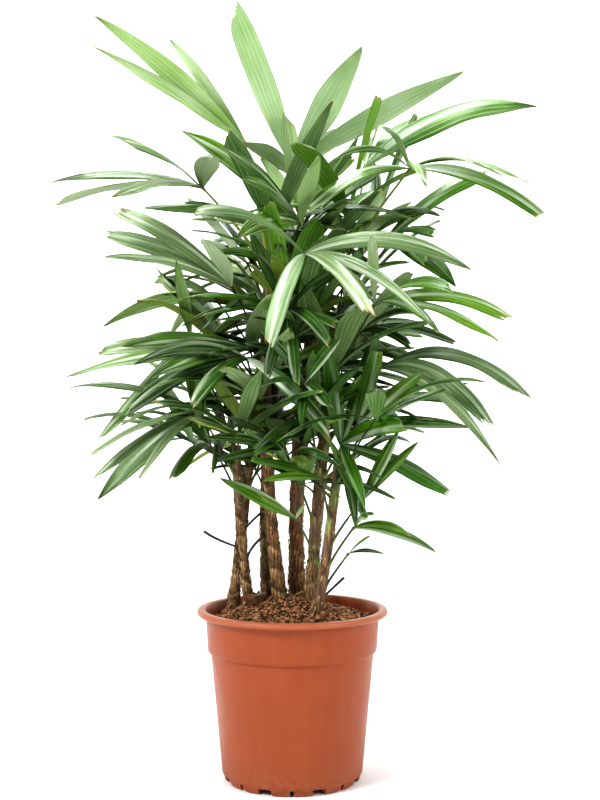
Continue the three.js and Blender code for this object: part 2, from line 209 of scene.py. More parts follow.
class Wire:
    """A socket in a material. Arithmetic on it adds Math nodes, and node() adds any other."""

    def __init__(self, tree, socket):
        self.tree = tree
        self.socket = socket

    def node(self, kind, settings, inputs, output=0):
        """A new shader node of this kind: its settings are set, then its sockets' values or links."""
        made = self.tree.nodes.new("ShaderNode" + kind)
        for key, value in settings.items():
            setattr(made, key, value)
        for key, value in inputs.items():
            if isinstance(value, Wire):
                self.tree.links.new(value.socket, made.inputs[key])
            else:
                made.inputs[key].default_value = value
        return Wire(self.tree, made.outputs[output])

    def math(self, operation, *values, clamp=False):
        """A Math node's result for these wires and numbers."""
        return self.node("Math", {"operation": operation, "use_clamp": clamp}, dict(enumerate(values)))

    def __add__(self, other):
        return self.math("ADD", self, other)

    __radd__ = __add__

    def __sub__(self, other):
        return self.math("SUBTRACT", self, other)

    def __rsub__(self, other):
        return self.math("SUBTRACT", other, self)

    def __mul__(self, other):
        return self.math("MULTIPLY", self, other)

    __rmul__ = __mul__

    def limited(self):
        """This number, kept between 0 and 1."""
        return self.math("ADD", self, 0.0, clamp=True)

    def step(self, low, high):
        """0 below the low value, 1 above the high one, and smooth between."""
        ends = {"Value": self, "From Min": low, "From Max": high}
        return self.node("MapRange", {"interpolation_type": "SMOOTHSTEP"}, ends)

    def between(self, low, high):
        """The low colour where this is 0, the high one where it is 1, and a blend between."""
        return self.node("Mix", {"data_type": "RGBA"}, {"Factor": self, 6: low, 7: high}, output=2)

    def mark(self, name):
        """A number that the mesh keeps on its points."""
        return self.node("Attribute", {"attribute_name": name}, {}, output=2)

    def noise(self, size, detail=3.0, rough=0.55, stretch=(1, 1, 1)):
        """Noise of about this size in metres over coordinates, drawn out along an axis by a small stretch."""
        scaled = self.node("VectorMath", {"operation": "MULTIPLY"}, {0: self, 1: stretch})
        sockets = {"Vector": scaled, "Scale": 1 / size, "Detail": detail, "Roughness": rough}
        return self.node("TexNoise", {}, sockets)

    def bump(self, distance, strength=1.0, under=None):
        """The normal of a surface with this height, the distance in metres for a height of 1, laid on the
        normal of a coarser relief."""
        sockets = {"Height": self, "Distance": distance, "Strength": strength}
        if under:
            sockets["Normal"] = under
        return self.node("Bump", {}, sockets)


def new_material(name, **constants):
    """A new material whose Principled surface has these constant values. Gives the material, a function that
    links wires to its surface, and its Object coordinates."""
    material = bpy.data.materials.new(name)
    material.use_nodes = True
    tree = material.node_tree
    shader = tree.nodes["Principled BSDF"]
    for key, value in constants.items():
        shader.inputs[key.replace("_", " ")].default_value = value

    def surface(**wires):
        for key, wire in wires.items():
            tree.links.new(wire.socket, shader.inputs[key.replace("_", " ")])

    return material, surface, Wire(tree, tree.nodes.new("ShaderNodeTexCoord").outputs["Object"])


def plastic():
    """Terracotta-coloured polypropylene with a fine satin grain: a faint mottle and upright streaks from the
    mould, a little dust at the foot, small scuffs, a paler foot, and a paler lip that is a painted highlight."""
    material, surface, place = new_material("terracotta_plastic", IOR=1.46, Specular_IOR_Level=0.25)
    height = place.node("SeparateXYZ", {}, {0: place}, output=2)
    mottle = place.noise(0.035, 4, 0.6).step(0.32, 0.7)
    streak = place.noise(0.012, 3, 0.5, (1, 1, 0.12)).step(0.35, 0.75)
    dust = (1 - height.step(0.004, 0.05)) * place.noise(0.006, 5, 0.7).step(0.45, 0.62)
    scuff = place.noise(0.003, 2, 0.5, (1, 1, 0.3)).step(0.66, 0.74)
    base = (streak * 0.15).between(mottle.between(CLAY_DEEP, CLAY), CLAY_PALE)
    base = (scuff * 0.25).between((dust * 0.35).between(base, DUST), CLAY_PALE)
    base = ((1 - height.step(0, 0.15)) * 0.3).between(base, CLAY_PALE)
    # The lip is made paler: a painted highlight on the rolled lip.
    base = (height.step(LIP_FOOT, LIP_FOOT + 9 * MM) * 0.8).between(base, CLAY_LIP_HIGHLIGHT)
    rough = 0.36 + 0.12 * mottle + 0.2 * dust
    wave = place.noise(0.03, 1, 0.4).bump(0.0006, 0.5)
    surface(Base_Color=base, Roughness=rough, Normal=place.noise(0.0011, 2, 0.5).bump(0.00006, 0.6, wave))
    return material


def arc(centre, radius, start, end, count):
    """Points [radius, height] on a circle's arc between two angles in degrees."""
    turn = np.radians(np.linspace(start, end, count))
    return np.stack([centre[0] + radius * np.cos(turn), centre[1] + radius * np.sin(turn)], -1)


def turned(profile, turns):
    """A profile of [radius, height] points as rings round the axis."""
    turn = np.arange(turns) * 2 * math.pi / turns
    rings = np.empty((len(profile), turns, 3))
    rings[..., 0] = profile[:, :1] * np.cos(turn)
    rings[..., 1] = profile[:, :1] * np.sin(turn)
    rings[..., 2] = profile[:, 1:]
    return rings


def pot_wall():
    """The profile from the middle of the underside out and up the tapered outside, over the band's step and
    the round of the lip, and down the inside to the middle of the pot's floor."""
    rim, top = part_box("pot")[1][0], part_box("pot")[1][2]
    curl = LIP_HEIGHT / 2
    taper = [[BASE_RADIUS + 1.4 * MM, FOOT_HEIGHT + 8 * MM], [SHOULDER_RADIUS, BAND_FOOT - 3 * MM]]
    band = [[BAND_RADIUS + 0.3 * MM, BAND_FOOT + 6 * MM], [NECK_RADIUS, top - LIP_HEIGHT - 2 * MM]]
    runs = [
        [[0.2 * MM, FOOT_HEIGHT], [BASE_RADIUS - 12 * MM, FOOT_HEIGHT]],
        arc((BASE_RADIUS - 2 * MM, FOOT_HEIGHT + HEEL), HEEL, -90, -12, 5),
        np.linspace(*taper, 24),
        arc((SHOULDER_RADIUS + STEP, BAND_FOOT - 1.4 * MM), STEP, 180, 95, 4),
        arc((BAND_RADIUS - STEP, BAND_FOOT + 2.2 * MM), STEP, -85, 5, 4),
        np.linspace(*band, 8),
        arc((NECK_RADIUS + 2.2 * MM, top - LIP_HEIGHT - 0.5 * MM), 1.8 * MM, 175, 95, 3),
        arc((rim - curl, top - curl), curl, -80, 95, 12),
        arc((rim - LIP_HEIGHT, top - MOUTH), MOUTH, 80, 170, 6),
        [[NECK_RADIUS - POT_WALL, top - LIP_HEIGHT - 4 * MM], [BAND_RADIUS - POT_WALL, BAND_FOOT + 2 * MM]],
        [[SHOULDER_RADIUS - POT_WALL, BAND_FOOT - 3 * MM], [BASE_RADIUS - POT_WALL, FOOT_HEIGHT + 6 * MM]],
        [[BASE_RADIUS - 8 * MM, FOOT_HEIGHT + POT_WALL], [0.2 * MM, FOOT_HEIGHT + POT_WALL]],
    ]
    return skins(turned(np.concatenate(runs), POT_TURNS)[None])


def pot_foot(number):
    """One foot: a block that bends round the base from beside its pair's slit to beside the next gate. Its
    outer lower edge is eased, and so are its ends."""
    pair, side = divmod(number, 2)
    middle = -math.pi / 2 + pair * 2 * math.pi / FOOT_PAIRS
    ends = FOOT_SLIT / 2 / FOOT_RADIUS, math.pi / FOOT_PAIRS - FOOT_GATE / 2 / FOOT_RADIUS
    turn = (middle + (1 if side else -1) * np.linspace(*ends, FOOT_TURNS))[:, None]
    root = FOOT_HEIGHT + 2 * MM
    inner = FOOT_RADIUS - FOOT_WIDTH
    section = [
        [inner, 0],
        [FOOT_RADIUS - 1.2 * MM, 0],
        [FOOT_RADIUS, 1.2 * MM],
        [BASE_RADIUS, root],
        [BASE_RADIUS - 10 * MM, root],
        [inner, FOOT_HEIGHT],
    ]
    radius, height = np.array(section).T
    ease = 1.2 * MM * np.linspace(-1, 1, FOOT_TURNS)[:, None] ** 6 * [1, 1, 0.4, 0, 0, 0]
    rings = np.stack([radius * np.cos(turn), radius * np.sin(turn), height + ease], -1)
    return skins(rings[None])


def pot():
    """The wall and its feet. The wall takes the lower part of the bake's map, and the feet a strip above."""
    parts = [pot_wall()] + [pot_foot(number) for number in range(2 * FOOT_PAIRS)]
    for number, part in enumerate(parts):
        place = part["maps"]["OFBake"]
        share = place * [0.9 / (2 * FOOT_PAIRS), 0.16] + [(number - 1) / (2 * FOOT_PAIRS), 0.82]
        part["maps"]["OFBake"] = share if number else place * [1, 0.8]
    return joined(parts)


add_piece("nursery_pot", pot(), plastic(), nodes=("pot",), sharp=38)


# ---- soil ----
# Dark peat potting mix with coir, mounded round the canes and a little lower at the wall. Crumbs and torn
# root fibres lie loose on it. The mound is one closed surface, and the crumbs and fibres are joined meshes.

SOIL_EDGE = 199 * MM
SOIL_RADIUS = 105.6 * MM
SETTLED = 1.5 * MM  # how far the soil lies below its solid
LUMPS = ((1.6 * MM, 30 * MM), (0.9 * MM, 8 * MM))  # height and width
HEAP = 14 * MM
HEAP_SPREAD = 50 * MM
CRUMBS = 9000
CRUMB_SIZE = 0.7 * MM
CRUMB_GROWTH = 3.2 * MM
FIBRES = 130
PEAT = ((0.34, (0.008, 0.0025, 0.0005)), (0.48, (0.1, 0.036, 0.008)), (0.64, (0.4, 0.18, 0.07)))
COIR = (0.52, 0.28, 0.13, 1)
STRAW = ((0.35, (0.12, 0.05, 0.02)), (0.5, (0.24, 0.125, 0.06)), (0.68, (0.48, 0.32, 0.17)))


def ripples(points, size, seed, count=14):
    """Smooth noise from -1 to 1 at each point: a sum of sine waves in seeded directions, with wavelengths
    round the size."""
    rng = np.random.default_rng(seed)
    ways = rng.normal(size=(count, 3))
    lengths = np.linalg.norm(ways, axis=1, keepdims=True)
    ways *= 2 * math.pi / (lengths * size * rng.uniform(0.6, 1.6, (count, 1)))
    return np.sin(points @ ways.T + rng.uniform(0, 2 * math.pi, count)).sum(-1) / math.sqrt(count * 2)


def ground(x, y):
    """The height of the soil: a low mound, a parabola from its crown down to the wall, with lumps, and a
    round heap over the roots in its middle."""
    out = np.minimum(1, np.hypot(x, y) / SOIL_RADIUS)
    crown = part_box("soil")[1][2]
    flat = np.stack([x, y, np.zeros_like(x)], -1)
    lumps = sum(high * ripples(flat, wide, seed) for seed, (high, wide) in enumerate(LUMPS, 1))
    heap = HEAP * np.exp(-((out * SOIL_RADIUS / HEAP_SPREAD) ** 2))
    return SOIL_EDGE + (crown - SOIL_EDGE) * (1 - out**2) - SETTLED + lumps + heap


def ramp(wire, stops):
    """A colour for each value of the wire, blended between stops of a place and a colour."""
    colours = wire.node("ValToRGB", {}, {0: wire})
    elements = colours.socket.node.color_ramp.elements
    for _ in stops[2:]:
        elements.new(1)
    for element, (place, rgb) in zip(elements, stops):
        element.position = place
        element.color = (*rgb, 1)
    return colours


def peat():
    """Peat and coir, rough and matt: near black between the crumbs, which is dark peat with painted shade in
    the gaps, and each crumb somewhere between dark brown and tan."""
    material, surface, place = new_material("peat", Roughness=0.95)
    grain = place.noise(0.0022, 4, 0.7)
    tone = place.mark("tone")
    shade = ramp(grain * 0.5 + tone * 0.55 + place.noise(0.02, 3, 0.6) * 0.25 - 0.12, PEAT)
    light = (tone + 0.3 * grain).step(0.9, 1.1)
    surface(Base_Color=(light * 0.8).between(shade, COIR), Normal=grain.bump(0.0016))
    return material


def mound():
    """Rings from the middle out to the wall at the ground's height, then down the wall to the pot's floor."""
    rings, turns = 60, 160
    radius = SOIL_RADIUS * np.linspace(0.003, 1, rings)[:, None]
    turn = np.arange(turns) * 2 * math.pi / turns
    x, y = radius * np.cos(turn), radius * np.sin(turn)
    top = np.stack([x, y, ground(x, y)], -1)
    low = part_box("soil")[0][2] + 0.5 * MM
    wall = turned(np.array([[100 * MM, 150 * MM], [84 * MM, low], [0.3 * MM, low]]), turns)
    part = skins(np.concatenate([top, wall])[None])
    # The mound's low tone makes it near black between the crumbs: dark peat with painted shade in the gaps.
    part["marks"]["tone"] = np.full(len(part["points"]), 0.25)
    return part


def crumbs():
    """Each crumb is a squashed octahedron with each corner pulled in or out, laid on the ground where its
    heading and its distance from the axis fall."""
    rng = np.random.default_rng(11)
    radius = SOIL_RADIUS * np.sqrt(rng.uniform(0.0, 0.97, CRUMBS))
    turn = rng.uniform(0, 2 * math.pi, CRUMBS)
    size = CRUMB_SIZE + CRUMB_GROWTH * rng.beta(1.2, 5, CRUMBS)
    x, y = radius * np.cos(turn), radius * np.sin(turn)
    centre = np.stack([x, y, ground(x, y) + size * 0.35], -1)
    faces = np.array([[0, 1, 2], [1, 3, 2], [3, 4, 2], [4, 0, 2], [1, 0, 5], [3, 1, 5], [4, 3, 5], [0, 4, 5]])
    pull = rng.uniform(0.6, 1.5, (CRUMBS, 6, 1))
    roll = rng.uniform(0, 2 * math.pi, (CRUMBS, 1))
    wide, deep, high = np.moveaxis(np.concatenate([np.eye(3), -np.eye(3)]) * [1, 1, 0.7] * pull, -1, 0)
    spun = wide * np.cos(roll) - deep * np.sin(roll), wide * np.sin(roll) + deep * np.cos(roll), high
    points = centre[:, None] + size[:, None, None] * np.stack(spun, -1)
    spread = np.array([[0, 0], [1, 0], [0.5, 1]])
    return {
        "points": points.reshape(-1, 3),
        "faces": (faces + np.arange(CRUMBS)[:, None, None] * 6).reshape(-1, 3),
        "maps": {"OFBake": packed_cells(CRUMBS * len(faces), spread[None, None])},
        "marks": {"tone": np.repeat(rng.random(CRUMBS), 6)},
    }


def unit(vectors):
    """The vectors, each scaled to a length of 1."""
    return vectors / np.linalg.norm(vectors, axis=-1, keepdims=True)


def limbs(centres, radii, sides):
    """Round limbs, as rings for skins(): at each centre a ring at right angles to the way along the limb.
    Centres are [limb, place, xyz], and radii [limb, place]."""
    along = unit(np.gradient(centres, axis=1))
    chord = np.abs(centres[:, -1] - centres[:, 0])
    aside = np.eye(3)[np.argmin(chord, -1)][:, None]
    across = unit(np.cross(along, aside))
    over = np.cross(along, across)
    turn = (np.arange(sides) * 2 * math.pi / sides)[:, None]
    ring = across[:, :, None] * np.cos(turn) + over[:, :, None] * np.sin(turn)
    return centres[:, :, None] + radii[:, :, None, None] * ring


def loose_fibres():
    """Short curled root fibres that lie on the soil: each is an arc that follows the ground's height."""
    rng = np.random.default_rng(12)
    share = np.linspace(-0.5, 0.5, 7)
    radius = SOIL_RADIUS * np.sqrt(rng.uniform(0.0, 0.85, FIBRES))[:, None]
    turn = rng.uniform(0, 2 * math.pi, (FIBRES, 1))
    heading = rng.uniform(0, 2 * math.pi, (FIBRES, 1)) + share * rng.normal(0, 2.2, (FIBRES, 1))
    length = rng.uniform(7, 26, (FIBRES, 1)) * MM
    x = radius * np.cos(turn) + length * share * np.cos(heading)
    y = radius * np.sin(turn) + length * share * np.sin(heading)
    hump = rng.uniform(0, 2.5, (FIBRES, 1)) * MM * (1 - (2 * share) ** 2)
    centres = np.stack([x, y, ground(x, y) + 0.6 * MM + hump], -1)
    thick = rng.uniform(0.2, 0.55, (FIBRES, 1)) * MM * (1 - 0.5 * (2 * share) ** 4)
    return skins(limbs(centres, thick, 3))


def root_fibre():
    """Dry root and coir fibre: tan, from pale straw to reddish brown."""
    material, surface, place = new_material("root_fibre", Roughness=0.8)
    thread = place.noise(0.0008, 2, 0.5).bump(0.0002, 0.6)
    surface(Base_Color=ramp(place.noise(0.012, 2, 0.5), STRAW), Normal=thread)
    return material


earth = peat()
fibre = root_fibre()
add_piece("potting_soil", mound(), earth, nodes=("soil",))
add_piece("soil_crumbs", crumbs(), earth, sharp=20)
add_piece("loose_root_fibres", loose_fibres(), fibre)


# ---- canes ----
# Slim upright stems wrapped in the old leaf sheaths, a mat of coarse brown fibres. Each sheath stands a
# little proud at its frayed upper edge, where the next one comes out from inside it. The relief is in the
# mesh, loose fibre ends stand off it, and tan roots run from each cane's foot into the soil.

CANE_TURNS = 44
CANE_STEP = 2.2 * MM
CANE_RING = 7
SHEATH_PITCH = 27 * MM
SHEATH_SWELL = 1.1 * MM
RIDGES = ((15, 190, 20 * MM), (12, -230, 25 * MM))  # how many round, slant in radians per metre, waver
WEAVE = 0.26 * MM
CANE_SEED = 40
ROOTS = 5
CANES = sorted(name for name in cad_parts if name.startswith("cane_"))
SLIMMER = {"cane_tall": 0.86, "cane_right": 0.9, "cane_left": 0.88, "cane_outer": 0.94}  # share of the solid
# How much of a cane's bark is rust red, and how green it is under the fibres.
RUSTY = {"cane_stout": 0.9, "cane_tall": 0.55}
OLIVE = {"cane_slim": 0.45, "cane_right": 0.1, "cane_rear": 0.5, "cane_left": 0.1, "cane_outer": 0.2}
BARK = (
    (0.28, (0.026, 0.012, 0.004)),
    (0.46, (0.105, 0.053, 0.019)),
    (0.62, (0.25, 0.145, 0.06)),
    (0.75, (0.55, 0.38, 0.2)),
)
BRISTLE = ((0.4, (0.012, 0.006, 0.003)), (0.52, (0.05, 0.024, 0.011)), (0.68, (0.36, 0.23, 0.12)))
STEM = ((0.3, (0.05, 0.06, 0.012)), (0.55, (0.13, 0.14, 0.035)), (0.75, (0.3, 0.28, 0.1)))
RUST = (0.17, 0.045, 0.018, 1)


def welded(node):
    """A solid's points without doubles, and for each point the numbers of those that edges join to it."""
    mesh = bmesh.new()
    mesh.from_mesh(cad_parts[node].data)
    bmesh.ops.remove_doubles(mesh, verts=mesh.verts, dist=0.015 * MM)
    mesh.verts.index_update()
    points = np.array([v.co for v in mesh.verts])
    beside = [{e.other_vert(v).index for e in v.link_edges} for v in mesh.verts]
    mesh.free()
    return points, beside


def read_cane(node):
    """A cane's middle line and radius from its solid: its points in order of height are its rings, whose
    means lie on a curve of the second degree in height. Some canes are slimmer than their solids."""
    points, _ = welded(node)
    rings = points[np.argsort(points[:, 2])].reshape(-1, CANE_RING, 3)
    centres = rings.mean(1)
    radii = np.linalg.norm(rings - centres[:, None], axis=-1).mean(1) * SLIMMER.get(node, 1)
    bend = np.polyfit(centres[:, 2], centres[:, :2], 2)
    return {"bend": bend, "heights": centres[:, 2], "radii": radii, "top": centres[-1, 2]}


def cane_at(cane, height):
    """The cane's middle at each height, and its radius there."""
    powers = np.stack([height**2, height, np.ones_like(height)], -1)
    middle = np.concatenate([powers @ cane["bend"], height[..., None]], -1)
    return middle, np.interp(height, cane["heights"], cane["radii"])


def around(turn):
    """The level way at each angle round the upright."""
    return np.stack([np.cos(turn), np.sin(turn), np.zeros_like(turn)], -1)


def cane_skin(name, seed):
    """The cane's round skin, thickened by three kinds of relief. Sheaths: each swells up to its edge and
    steps in there, and the edge wanders round the cane. Fibres: two families of fine ridges that cross at a
    slant. Lumps: slow noise. The mark 'relief' keeps the height for the colours, and 'rise' runs from 0 at
    the soil to 1 at the top."""
    cane = canes[name]
    rng = np.random.default_rng(seed)
    height = np.arange(cane["heights"][0] + 6 * MM, cane["top"], CANE_STEP)[:, None]
    turn = (np.arange(CANE_TURNS) * 2 * math.pi / CANE_TURNS)[None]
    middle, radius = cane_at(cane, height[:, 0])
    way = around(turn)
    place = way * radius[:, None, None] + height[..., None] * [0, 0, 1]
    slant = rng.uniform(0.6, 1.0) * (1 if seed % 2 else -1)
    wander = 0.22 * ripples(place, 0.03, seed + 1) + 0.16 * slant * np.cos(turn + rng.uniform(0, 6))
    sheath = ((height / SHEATH_PITCH) + wander + rng.uniform()) % 1
    families = [
        np.sin(count * turn + slope * height + 1.5 * ripples(place, waver, seed + number))
        for number, (count, slope, waver) in enumerate(RIDGES, 2)
    ]
    weave = WEAVE * np.maximum(*families)
    lumps = 0.5 * MM * ripples(place, 0.02, seed + 4) + 0.35 * MM * ripples(place, 0.005, seed + 5)
    grown = radius[:, None] * 0.93 + SHEATH_SWELL * sheath**1.4 + weave + lumps
    part = skins((middle[:, None] + way * grown[..., None])[None])
    relief = (weave / (2 * WEAVE) + 0.5) * 0.6 + sheath * 0.4
    part["marks"]["relief"] = np.append(relief, [0.5, 0.5])
    part["marks"]["rise"] = (part["points"][:, 2] - SOIL_EDGE) / (cane["top"] - SOIL_EDGE)
    return part


def bark(name, olive, rusty):
    """Fibrous sheaths: dark reddish brown in the grooves and tan on the ridges, bleached in patches, and as
    far as the cane is young, olive green under the fibres. The topmost sheaths are the greenest."""
    material, surface, place = new_material(name, IOR=1.4)
    relief = place.mark("relief")
    slow = place.noise(0.028, 3, 0.6)
    fine = place.noise(0.0035, 4, 0.7, (1, 1, 0.16))
    base = ramp(relief * 0.45 + fine * 0.5 + slow * 0.25 - 0.1, BARK)
    patch = place.noise(0.05, 2, 0.5, (1, 1, 0.4))
    green = patch.step(0.62 - 0.35 * olive, 0.78 - 0.3 * olive) * min(1, olive * 1.1)
    young = place.mark("rise").step(0.78, 0.97) * (0.35 + 0.5 * fine)
    green = (green + young).limited()
    base = green.between(base, ramp(fine, STEM))
    rust = place.noise(0.014, 3, 0.6).step(0.62 - 0.2 * rusty, 0.74 - 0.12 * rusty) * 0.55
    thread = place.noise(0.0012, 3, 0.6, (1, 1, 0.08)).bump(0.0007, 0.8)
    surface(
        Base_Color=rust.between(base, RUST),
        Roughness=0.95 - 0.3 * green,
        Normal=fine.bump(0.0012, 0.8, thread),
    )
    return material


def cane_fibres(name, seed):
    """Loose fibre ends on a cane: each starts on the skin and runs up it at a slant, and most peel off."""
    rng = np.random.default_rng(seed)
    cane = canes[name]
    span = cane["top"] - SOIL_EDGE
    count = int(span / MM * 2.2)
    share = np.linspace(0, 1, 6)
    start = SOIL_EDGE + span * rng.uniform(0.01, 0.985, (count, 1))
    length = rng.uniform(3, 8, (count, 1)) * MM * rng.choice([1, 1, 2.5], (count, 1))
    lean = rng.normal(0, 0.5, (count, 1))
    turn = rng.uniform(0, 2 * math.pi, (count, 1))
    height = np.minimum(start + length * share * np.cos(lean), cane["top"] + 6 * MM)
    middle, radius = cane_at(cane, height)
    peel = rng.uniform(0.3, 2.8, (count, 1)) * MM * share**1.6 * (rng.random((count, 1)) < 0.7)
    turn = turn + length * share * np.sin(lean) / radius + rng.normal(0, 0.1, (count, 1)) * share**2
    centres = middle + around(turn) * (radius * 0.98 + 0.7 * MM + peel)[..., None]
    thick = rng.uniform(0.25, 0.6, (count, 1)) * MM * (1 - 0.7 * share)
    return skins(limbs(centres, thick, 3))


def foot_roots():
    """Roots from each cane's foot: each leaves the skin just over the soil, winds out over the ground for
    one to three centimetres and dips into it."""
    rng = np.random.default_rng(31)
    share = np.linspace(0, 1, 8)
    lines, thick = [], []
    for name in CANES:
        turn = rng.uniform(0, 2 * math.pi, (ROOTS, 1))
        middle, radius = cane_at(canes[name], np.full((ROOTS, 1), SOIL_EDGE + 12 * MM))
        out = radius * 0.9 + rng.uniform(10, 30, (ROOTS, 1)) * MM * share
        curl = turn + rng.normal(0, 0.5, (ROOTS, 1)) * share**2
        room = SOIL_RADIUS - np.hypot(*middle[0, 0, :2]) - 4 * MM
        points = middle + around(curl) * np.minimum(out, room)[..., None]
        start = rng.uniform(3, 10, (ROOTS, 1)) * MM
        rise = start * (1 - share) ** 2 + 0.8 * MM - 3.5 * MM * share**4
        points[..., 2] = ground(points[..., 0], points[..., 1]) + rise
        lines.append(points)
        thick.append(rng.uniform(0.6, 1.15, (ROOTS, 1)) * MM * (1 - 0.4 * share))
    return skins(limbs(np.concatenate(lines), np.concatenate(thick), 6))


def bristles():
    """Stiff fibre ends: near black at most, with some brown and some straw-coloured."""
    material, surface, place = new_material("bristle", Roughness=0.8)
    thread = place.noise(0.0008, 2, 0.5).bump(0.0002, 0.6)
    surface(Base_Color=ramp(place.noise(0.006, 3, 0.6), BRISTLE), Normal=thread)
    return material


bristle = bristles()
canes = {name: read_cane(name) for name in CANES}
for number, name in enumerate(CANES):
    seed = CANE_SEED + 10 * number
    finish = bark(name + "_bark", OLIVE.get(name, 0.05), RUSTY.get(name, 0.25))
    add_piece(name + "_bark", cane_skin(name, seed), finish, (name,), sharp=80)
    add_piece(name + "_fibres", cane_fibres(name, seed + 1), bristle)
add_piece("cane_foot_roots", foot_roots(), fibre)


# ---- fronds ----
# Each frond is a fan of leaflets on a wiry stalk. A leaflet is a stiff pleated blade with near-parallel
# sides, a rib along each pleat, and a tip that is cut off slantwise into teeth. Its middle line, width and
# facing come from the frond's solid, and its pleats and teeth are worked out on a grid.

RINGS = (0.92, 0.67, 0.33)  # where a leaflet's rings stand along it, from the tip back
SLIVER = 4 * MM
CROWN_TOP = 984 * MM
# How far a frond's leaflets are rolled to the front, and their share of the full width.
FORWARD = {"frond_03": 1.3, "frond_08": 1.1}
NARROW = {"frond_02": 0.84, "frond_04": 0.8, "frond_11": 0.68, "frond_15": 0.85, "frond_21": 0.74}
HANGING = math.radians(40)  # a steeper leaflet hangs
SHEENED_FROND = "frond_11"  # its hanging leaflets are pale with painted sheen
FROND_SEED = 200
HANGING_SEED = 300
BLADE_ROWS = 25
BLADE_THICKNESS = 0.34 * MM
BLADE_SPREAD = 1.16
RIB_SPACING = 5.2 * MM
SLENDER = 16 * MM
BROAD = 24 * MM
LONG = 220 * MM
# A rib's pale, partly its own colour and partly a painted glint.
RIB_AND_GLINT = (0.34, 0.46, 0.14, 1)
# The pale of the painted sheen: streaks that stand in for gloss on the leaflets.
PAINTED_SHEEN = (0.62, 0.71, 0.54, 1)
DRY = (0.36, 0.33, 0.1, 1)
BROWN = (0.16, 0.085, 0.035, 1)
# The upper side's deep and bright tones, and the pale one of the underside.
GREENS = {
    # The darkest kind is a copy of the leaf with painted shade, for fronds inside the crown.
    "leaf_shaded": ((0.001, 0.016, 0.0003, 1), (0.034, 0.122, 0.002, 1), (0.2, 0.28, 0.12, 1)),
    "leaf_mid": ((0.004, 0.042, 0.0005, 1), (0.11, 0.245, 0.008, 1), (0.45, 0.54, 0.35, 1)),
    "leaf_grey": ((0.02, 0.065, 0.01, 1), (0.22, 0.32, 0.135, 1), (0.5, 0.57, 0.41, 1)),
    "leaf_lit": ((0.012, 0.075, 0.001, 1), (0.07, 0.21, 0.003, 1), (0.15, 0.29, 0.02, 1)),
    "leaf_gold": ((0.03, 0.07, 0.001, 1), (0.13, 0.21, 0.008, 1), (0.25, 0.33, 0.05, 1)),
    "leaf_light": ((0.012, 0.08, 0.001, 1), (0.14, 0.29, 0.015, 1), (0.53, 0.61, 0.44, 1)),
    "leaf_young": ((0.03, 0.12, 0.01, 1), (0.16, 0.3, 0.075, 1), (0.53, 0.63, 0.45, 1)),
    # A pale copy for the hanging leaflets: painted sheen.
    "leaf_pale_sheen": ((0.07, 0.16, 0.045, 1), (0.29, 0.41, 0.22, 1), (0.42, 0.54, 0.35, 1)),
}
# The fronds of each kind by number. The others are leaf_mid.
KINDS = {
    "leaf_young": (1,),
    "leaf_light": (2, 3, 15),
    "leaf_lit": (8, 27, 38),
    "leaf_gold": (36, 41),
    "leaf_grey": (5, 10, 11, 12, 21, 23),
    # These fronds, in the crown's core and back, take the darkest kind: painted shade.
    "leaf_shaded": (13, 16, 17, 20, 22, 24, 28, 29, 35, 37, 40, 44),
}


def nearest_ring(points, beside, group, seen, tip):
    """The three points closest to a leaflet's tip among those within two edges of a group of its points."""
    found = set().union(*(beside[k] for k in group)) - seen
    found |= set().union(*(beside[k] for k in found)) - seen
    return sorted(found, key=lambda k: np.linalg.norm(points[k] - points[tip]))[:3]


def ring_facts(corners):
    """Of a leaflet's three-sided ring: the middle of its long side, that side's length, and the way from its
    keel up through that middle."""
    sides = np.linalg.norm(corners - np.roll(corners, -1, 0), axis=1)
    long_side = int(np.argmax(sides))
    first, second, keel = (corners[(long_side + k) % 3] for k in range(3))
    middle = (first + second) / 2
    return middle, sides[long_side], (middle - keel) / np.linalg.norm(middle - keel)


def is_tip(points, tip, near):
    """A leaflet's tip has three points beside it, all some way off and in one narrow cone."""
    if len(near) != 3:
        return False
    ways = points[list(near)] - points[tip]
    reach = np.linalg.norm(ways, axis=1)
    mean = (ways / reach[:, None]).mean(0)
    return reach.min() > 2.5 * MM and np.min(ways @ mean / reach) > 0.4


def read_frond(node):
    """A frond's hub, leaflets and stalk from its solid. A leaflet's middle line is h(1-t)^2 + 2mt(1-t) + pt^2
    from the hub h to the tip p, so its rings at known t give h and m by least squares, and the frond's hub
    is the median of its leaflets' h. The points that no leaflet has are its stalk's. Slivers are left out,
    no tip is higher than the crown's top, and the leaflets of a few fronds are narrower, or are rolled about
    their middle lines to look more to the front."""
    points, beside = welded(node)
    leaves, taken = [], set()
    for tip, near in enumerate(beside):
        if not is_tip(points, tip, near):
            continue
        rings, seen = [], {tip}
        for _ in RINGS:
            rings.append(nearest_ring(points, beside, rings[-1] if rings else [tip], seen, tip))
            seen |= set(rings[-1])
        leaves.append((points[tip], [ring_facts(points[ring]) for ring in rings]))
        taken |= seen
    weights = np.array([[(1 - t) ** 2, 2 * t * (1 - t)] for t in RINGS])
    rests = [[ring[0] - t * t * tip for ring, t in zip(rings, RINGS)] for tip, rings in leaves]
    hub = np.median([np.linalg.lstsq(weights, np.array(rest), rcond=None)[0][0] for rest in rests], axis=0)
    blades = []
    for (tip, rings), rest in zip(leaves, rests):
        bend = (rest[1] - weights[1, 0] * hub) / weights[1, 1]
        tip = np.minimum(tip, [1, 1, CROWN_TOP])
        ups = unit(np.array([rings[1][2], rings[1][2], rings[0][2]]) - [0, FORWARD.get(node, 0), 0])
        if rings[1][1] > SLIVER:
            width = rings[1][1] * NARROW.get(node, 1)
            blades.append({"tip": tip, "bend": bend, "width": width, "ups": ups})
    loose = points[[k for k in range(len(points)) if k not in taken]]
    return {"node": node, "hub": hub, "blades": blades, "loose": loose}


